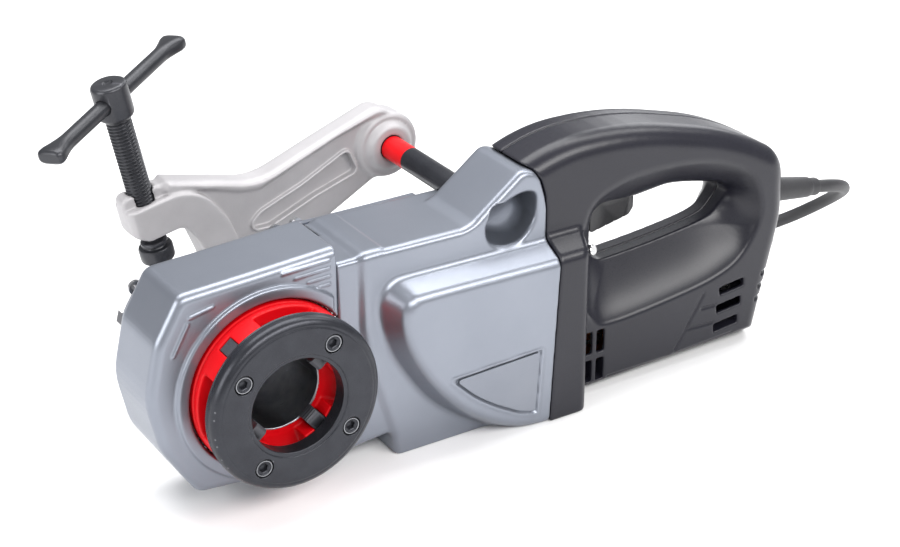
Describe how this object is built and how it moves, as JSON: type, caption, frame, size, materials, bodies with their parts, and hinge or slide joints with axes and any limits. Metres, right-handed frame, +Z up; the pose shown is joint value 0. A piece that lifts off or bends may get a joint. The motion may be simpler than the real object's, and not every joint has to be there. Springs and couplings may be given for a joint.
{
  "type": "pipe threading machine",
  "caption": "Portable electric pipe threader: a die head that turns in a silver gear housing, a black D-handle with a trigger, and a screw clamp on a sliding rod.",
  "frame": {"origin": "middle of the machine's footprint, on the surface it stands on, measured without the cord", "axes": "+X along the machine to the handle, +Y back along the pipe's axis, +Z up"},
  "size_m": [0.5199, 0.264, 0.2],
  "materials": {
    "head_housing": "satin blue-grey cast and coated aluminium",
    "head_rear_cover": "satin blue-grey cast and coated aluminium",
    "gear_housing": "satin blue-grey cast and coated aluminium",
    "gear_rear_cover": "satin blue-grey cast and coated aluminium",
    "cover_screw_1": "machined steel",
    "cover_screw_2": "machined steel",
    "cover_screw_3": "machined steel",
    "cover_screw_4": "machined steel",
    "cover_screw_5": "machined steel",
    "cover_screw_6": "machined steel",
    "label_plate": "dull grey blank plate",
    "front_ring_bearing": "machined steel",
    "rear_ring_bearing": "machined steel",
    "idler_pin": "machined steel",
    "bevel_shaft_bearing": "machined steel",
    "front_motor_bearing": "machined steel",
    "rear_motor_bearing": "machined steel",
    "stator": "machined steel",
    "front_carbon_brush": "black",
    "rear_carbon_brush": "black",
    "handle_shell_front": "charcoal, softly shining",
    "handle_shell_rear": "charcoal, softly shining",
    "shell_screw_1": "machined steel",
    "shell_screw_2": "machined steel",
    "shell_screw_3": "machined steel",
    "shell_screw_4": "machined steel",
    "switch_block": "black",
    "strain_relief": "black",
    "power_cord": "black",
    "cord_coil": "black",
    "mains_plug": "black",
    "ring_gear": "machined steel",
    "die_head_body": "gloss red",
    "die_plate": "blackened steel",
    "plate_screw_1": "blackened steel",
    "plate_screw_2": "blackened steel",
    "plate_screw_3": "blackened steel",
    "plate_screw_4": "blackened steel",
    "chaser_1": "blackened steel",
    "chaser_2": "blackened steel",
    "chaser_3": "blackened steel",
    "chaser_4": "blackened steel",
    "idler_gear": "machined steel",
    "drive_pinion_shaft": "machined steel",
    "crown_wheel": "machined steel",
    "bevel_pinion_shaft": "machined steel",
    "first_stage_gear": "machined steel",
    "motor_shaft": "machined steel",
    "armature": "copper windings on a steel core",
    "cooling_fan": "black",
    "trigger": "charcoal, softly shining",
    "direction_selector": "red",
    "guide_rod": "blackened steel",
    "clamp_frame": "matt light grey casting",
    "v_jaw": "blackened steel",
    "swivel_pad": "blackened steel",
    "clamp_spindle": "blackened steel",
    "t_bar": "blackened steel"
  },
  "bodies": {
    "machine": {"head_housing": "head_housing", "head_rear_cover": "head_rear_cover", "gear_housing": "gear_housing", "gear_rear_cover": "gear_rear_cover", "cover_screw_1": "cover_screw_1", "cover_screw_2": "cover_screw_2", "cover_screw_3": "cover_screw_3", "cover_screw_4": "cover_screw_4", "cover_screw_5": "cover_screw_5", "cover_screw_6": "cover_screw_6", "label_plate": "label_plate", "front_ring_bearing": "front_ring_bearing", "rear_ring_bearing": "rear_ring_bearing", "idler_pin": "idler_pin", "bevel_shaft_bearing": "bevel_shaft_bearing", "front_motor_bearing": "front_motor_bearing", "rear_motor_bearing": "rear_motor_bearing", "stator": "stator", "front_carbon_brush": "front_carbon_brush", "rear_carbon_brush": "rear_carbon_brush", "handle_shell_front": "handle_shell_front", "handle_shell_rear": "handle_shell_rear", "shell_screw_1": "shell_screw_1", "shell_screw_2": "shell_screw_2", "shell_screw_3": "shell_screw_3", "shell_screw_4": "shell_screw_4", "switch_block": "switch_block", "strain_relief": "strain_relief", "power_cord": "power_cord", "cord_coil": "cord_coil", "mains_plug": "mains_plug"},
    "drive_ring": {"ring_gear": "ring_gear"},
    "die_head": {"die_head_body": "die_head_body", "die_plate": "die_plate", "plate_screw_1": "plate_screw_1", "plate_screw_2": "plate_screw_2", "plate_screw_3": "plate_screw_3", "plate_screw_4": "plate_screw_4", "chaser_1": "chaser_1", "chaser_2": "chaser_2", "chaser_3": "chaser_3", "chaser_4": "chaser_4"},
    "idler": {"idler_gear": "idler_gear"},
    "drive_shaft": {"drive_pinion_shaft": "drive_pinion_shaft", "crown_wheel": "crown_wheel"},
    "bevel_shaft": {"bevel_pinion_shaft": "bevel_pinion_shaft", "first_stage_gear": "first_stage_gear"},
    "motor_rotor": {"motor_shaft": "motor_shaft", "armature": "armature", "cooling_fan": "cooling_fan"},
    "trigger_lever": {"trigger": "trigger"},
    "selector_knob": {"direction_selector": "direction_selector"},
    "clamp_rod": {"guide_rod": "guide_rod"},
    "clamp_arm": {"clamp_frame": "clamp_frame", "v_jaw": "v_jaw"},
    "clamp_pad": {"swivel_pad": "swivel_pad"},
    "clamp_screw": {"clamp_spindle": "clamp_spindle"},
    "clamp_bar": {"t_bar": "t_bar"}
  },
  "joints": [
    {"name": "die_spin", "type": "hinge", "parent": "machine", "child": "drive_ring", "pos_m": [-0.13163, -0.04731, 0.067], "axis": [0, 1, 0], "continuous": true},
    {"name": "die_head_pull", "type": "slide", "parent": "drive_ring", "child": "die_head", "axis": [0, -1, 0], "range_m": [0, 0.042]},
    {"name": "idler_spin", "type": "hinge", "parent": "machine", "child": "idler", "pos_m": [-0.05803, -0.05331, 0.067], "axis": [0, 1, 0], "continuous": true},
    {"name": "drive_shaft_spin", "type": "hinge", "parent": "machine", "child": "drive_shaft", "pos_m": [-0.02443, -0.04131, 0.067], "axis": [0, 1, 0], "continuous": true},
    {"name": "bevel_shaft_spin", "type": "hinge", "parent": "machine", "child": "bevel_shaft", "pos_m": [0.01837, -0.04131, 0.067], "axis": [1, 0, 0], "continuous": true},
    {"name": "motor_spin", "type": "hinge", "parent": "machine", "child": "motor_rotor", "pos_m": [0.10837, -0.04131, 0.031], "axis": [1, 0, 0], "continuous": true},
    {"name": "trigger_press", "type": "slide", "parent": "machine", "child": "trigger_lever", "axis": [0, 0, 1], "range_m": [0, 0.005], "stiffness_N_per_m": 1500, "springref_m": -0.0005},
    {"name": "direction_select", "type": "slide", "parent": "machine", "child": "selector_knob", "axis": [1, 0, 0], "range_m": [-0.005, 0.009]},
    {"name": "clamp_slide", "type": "slide", "parent": "machine", "child": "clamp_rod", "axis": [0, 1, 0], "range_m": [-0.045, 0.008]},
    {"name": "clamp_swing", "type": "hinge", "parent": "clamp_rod", "child": "clamp_arm", "pos_m": [0.00637, 0.05269, 0.126], "axis": [0, 1, 0], "range_deg": [0, 60]},
    {"name": "pad_travel", "type": "slide", "parent": "clamp_arm", "child": "clamp_pad", "axis": [-0.1994, 0, 0.9799], "range_m": [-0.014, 0.004]},
    {"name": "spindle_turn", "type": "hinge", "parent": "clamp_pad", "child": "clamp_screw", "pos_m": [-0.14359, 0.05469, 0.12579], "axis": [-0.1994, 0, 0.9799], "range_deg": [-720, 2520]},
    {"name": "bar_slide", "type": "slide", "parent": "clamp_screw", "child": "clamp_bar", "axis": [0.8181, 0.5505, 0.1664], "range_m": [-0.04, 0.034]}
  ],
  "couplings": [
    {"joint": "die_spin", "follows": "motor_spin", "ratio": 0.0087167},
    {"joint": "idler_spin", "follows": "motor_spin", "ratio": -0.017797},
    {"joint": "drive_shaft_spin", "follows": "motor_spin", "ratio": 0.047458},
    {"joint": "bevel_shaft_spin", "follows": "motor_spin", "ratio": -0.20339},
    {"joint": "pad_travel", "follows": "spindle_turn", "m_per_rad": -0.0003183}
  ]
}
